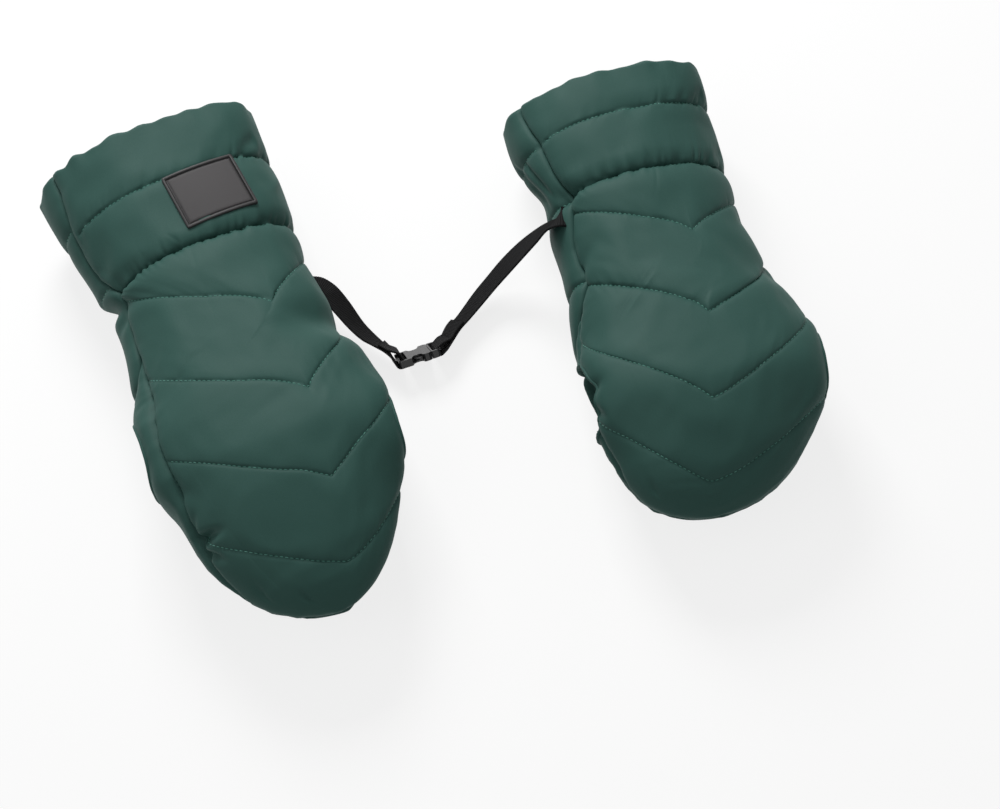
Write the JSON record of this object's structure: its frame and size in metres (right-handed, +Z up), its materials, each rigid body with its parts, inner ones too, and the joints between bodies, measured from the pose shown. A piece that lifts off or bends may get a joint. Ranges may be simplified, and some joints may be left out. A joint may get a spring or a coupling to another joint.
{
  "type": "stroller hand muff",
  "caption": "Quilted mitts with fleece lining that fit over a stroller's push bar, tied together by a webbing strap with a side-release buckle.",
  "frame": {"origin": "on the surface that the mitts lie on, under the middle of the pair", "axes": "+X along the push bar from the left mitt to the right one, +Y towards the cuffs, +Z up"},
  "size_m": [0.4489, 0.3314, 0.0952],
  "materials": {
    "quilted_shell": "woven polyester, soft satin sheen",
    "wadding": "polyester wadding",
    "fleece_lining": "brushed fleece",
    "hook_and_loop_tape": "hook and loop tape",
    "binding": "turned-in woven band",
    "rubber": "moulded, matte",
    "webbing": "ribbed polyester webbing",
    "acetal": "moulded acetal"
  },
  "bodies": {
    "left_half": {"left_top_shell": "quilted_shell", "left_top_wadding": "wadding", "left_top_lining": "fleece_lining", "left_palm_shell": "quilted_shell", "left_palm_wadding": "wadding", "left_palm_lining": "fleece_lining", "left_loop_tape": "hook_and_loop_tape", "left_cuff_binding": "binding", "rubber_patch": "rubber", "left_strap": "webbing", "buckle_socket": "acetal"},
    "right_half": {"right_top_shell": "quilted_shell", "right_top_wadding": "wadding", "right_top_lining": "fleece_lining", "right_palm_shell": "quilted_shell", "right_palm_wadding": "wadding", "right_palm_lining": "fleece_lining", "right_loop_tape": "hook_and_loop_tape", "right_cuff_binding": "binding", "right_strap": "webbing", "buckle_plug": "acetal"},
    "left_flap": {"left_flap_shell": "quilted_shell", "left_flap_wadding": "wadding", "left_flap_lining": "fleece_lining", "left_hook_tape": "hook_and_loop_tape"},
    "right_flap": {"right_flap_shell": "quilted_shell", "right_flap_wadding": "wadding", "right_flap_lining": "fleece_lining", "right_hook_tape": "hook_and_loop_tape"},
    "front_prong": {"front_prong": "acetal"},
    "rear_prong": {"rear_prong": "acetal"}
  },
  "joints": [
    {"name": "buckle_slide", "type": "slide", "parent": "left_half", "child": "right_half", "axis": [0.9781, 0.2079, 0], "range_m": [0, 0.045], "deforming": ["front_prong", "rear_prong"]},
    {"name": "left_flap_fold", "type": "hinge", "parent": "left_half", "child": "left_flap", "pos_m": [-0.1009, -0.0595, 0], "axis": [0.9641, 0.2656, 0], "range_deg": [0, 90]},
    {"name": "right_flap_fold", "type": "hinge", "parent": "right_half", "child": "right_flap", "pos_m": [0.1511, -0.0595, 0], "axis": [0.9956, 0.0941, 0], "range_deg": [0, 90]},
    {"name": "front_prong_press", "type": "hinge", "parent": "right_half", "child": "front_prong", "pos_m": [-0.00063, 0.00189, 0.01463], "axis": [0.1545, -0.7269, -0.6691], "range_deg": [0, 10], "stiffness_Nm_per_rad": 0.02},
    {"name": "rear_prong_press", "type": "hinge", "parent": "right_half", "child": "rear_prong", "pos_m": [-0.00244, 0.0104, 0.00497], "axis": [-0.1545, 0.7269, 0.6691], "range_deg": [0, 10], "stiffness_Nm_per_rad": 0.02}
  ],
  "couplings": [
    {"joint": "rear_prong_press", "follows": "front_prong_press", "ratio": 1}
  ]
}
